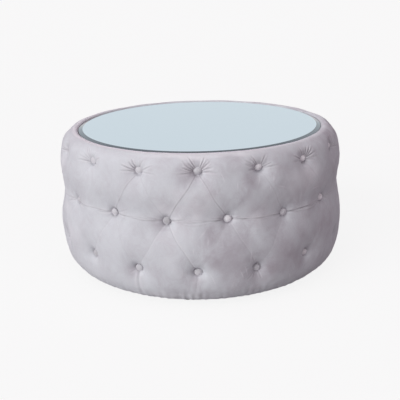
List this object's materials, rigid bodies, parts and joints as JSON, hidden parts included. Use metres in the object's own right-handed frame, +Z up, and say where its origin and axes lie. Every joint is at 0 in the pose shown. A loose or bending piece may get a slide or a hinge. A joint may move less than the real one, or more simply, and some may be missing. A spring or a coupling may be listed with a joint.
{
  "type": "ottoman coffee table",
  "caption": "Round drum ottoman coffee table in deep-buttoned velvet on low glides, with a bevelled mirror panel set loose in its top.",
  "frame": {"origin": "on the floor under the middle of the drum", "axes": "+Z up, -Y towards a column of top and bottom buttons that is taken as the front"},
  "size_m": [0.8536, 0.8536, 0.4096],
  "materials": {
    "velvet": "pale lavender-grey crushed velvet",
    "foam": "open-cell upholstery foam",
    "plastic_white": "moulded",
    "twine": "waxed tufting twine",
    "plywood": "raw birch ply",
    "steel": "zinc plated",
    "black_plastic": "moulded black",
    "dust_cloth": "spun-bonded black cloth",
    "mirror": "silvered glass, ground bevel",
    "back_paint": "sprayed back paint",
    "mastic": "mirror mastic",
    "hardboard": "brown hardboard",
    "felt": "felt"
  },
  "bodies": {
    "drum": {"base_board": "plywood", "base_screws": "steel", "button_backs_bottom_row": "plastic_white", "button_backs_middle_row": "plastic_white", "button_backs_top_row": "plastic_white", "button_ties_bottom_row": "twine", "button_ties_middle_row": "twine", "button_ties_top_row": "twine", "buttons_bottom_row": "velvet", "buttons_middle_row": "velvet", "buttons_top_row": "velvet", "deck_board": "plywood", "deck_screws": "steel", "dust_cover": "dust_cloth", "dust_cover_staples": "steel", "foam_panel_1": "foam", "foam_panel_2": "foam", "foam_panel_3": "foam", "foam_panel_4": "foam", "foot_1": "black_plastic", "foot_2": "black_plastic", "foot_3": "black_plastic", "foot_4": "black_plastic", "foot_5": "black_plastic", "foot_6": "black_plastic", "foot_7": "black_plastic", "foot_8": "black_plastic", "foot_screws": "steel", "hem_staples": "steel", "recess_staples": "steel", "tie_toggles_bottom_row": "plastic_white", "tie_toggles_middle_row": "plastic_white", "tie_toggles_top_row": "plastic_white", "upright_1": "plywood", "upright_2": "plywood", "upright_3": "plywood", "upright_4": "plywood", "upright_5": "plywood", "upright_6": "plywood", "upright_7": "plywood", "upright_8": "plywood", "velvet_panel_1": "velvet", "velvet_panel_2": "velvet", "velvet_panel_3": "velvet", "velvet_panel_4": "velvet", "wall_panel": "plywood", "wall_seam_batten": "plywood"},
    "mirror_panel": {"mirror_glass": "mirror", "mirror_back_coat": "back_paint", "mirror_mastic": "mastic", "backing_board": "hardboard", "seat_pads": "felt"}
  },
  "joints": [
    {"name": "mirror_panel_lift", "type": "slide", "parent": "drum", "child": "mirror_panel", "axis": [0, 0, 1], "range_m": [0, 0.1]}
  ]
}
